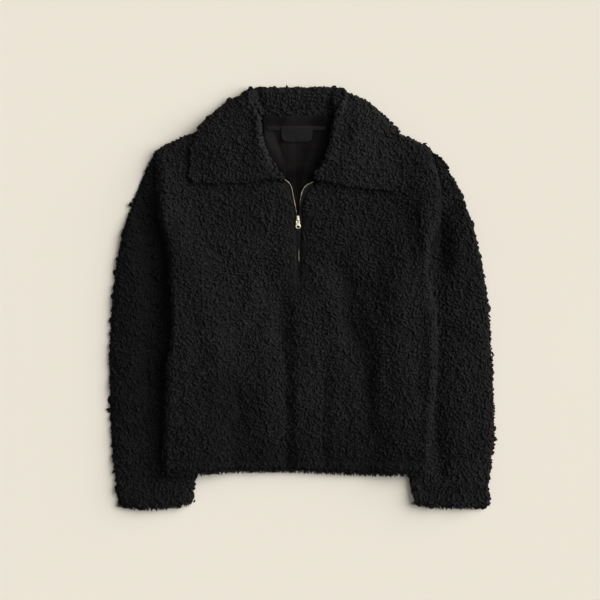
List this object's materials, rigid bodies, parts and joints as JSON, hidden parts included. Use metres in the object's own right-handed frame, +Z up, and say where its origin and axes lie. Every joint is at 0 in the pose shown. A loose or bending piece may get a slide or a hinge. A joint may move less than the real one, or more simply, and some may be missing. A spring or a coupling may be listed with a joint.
{
  "type": "sherpa fleece pullover",
  "caption": "Half-zip sherpa fleece pullover with a wide spread collar and long sleeves, laid flat with its zip part open.",
  "frame": {"origin": "middle of the garment's outline on the floor that it lies on", "axes": "+Z up from the floor, +Y from the hem to the collar, +X to the right as seen from above, which is the wearer's left"},
  "size_m": [0.6493, 0.7108, 0.0339],
  "materials": {
    "sherpa_fleece": "curly pile",
    "lining_twill": "smooth",
    "cotton_tape": "matt",
    "label_satin": "satin",
    "brass": "polished"
  },
  "bodies": {
    "garment": {"back": "sherpa_fleece", "front": "sherpa_fleece", "sleeve_left": "sherpa_fleece", "sleeve_right": "sherpa_fleece", "collar": "sherpa_fleece", "lining": "lining_twill", "neck_tape": "cotton_tape", "label": "label_satin", "zip_tape_left": "cotton_tape", "zip_tape_right": "cotton_tape", "zip_slider": "brass"},
    "pull_tab": {"pull_tab": "brass"}
  },
  "joints": [
    {"name": "pull_tab_swing", "type": "hinge", "parent": "garment", "child": "pull_tab", "pos_m": [-0.006, 0.1325, 0.01355], "axis": [-1, 0, 0], "range_deg": [0, 170]}
  ]
}
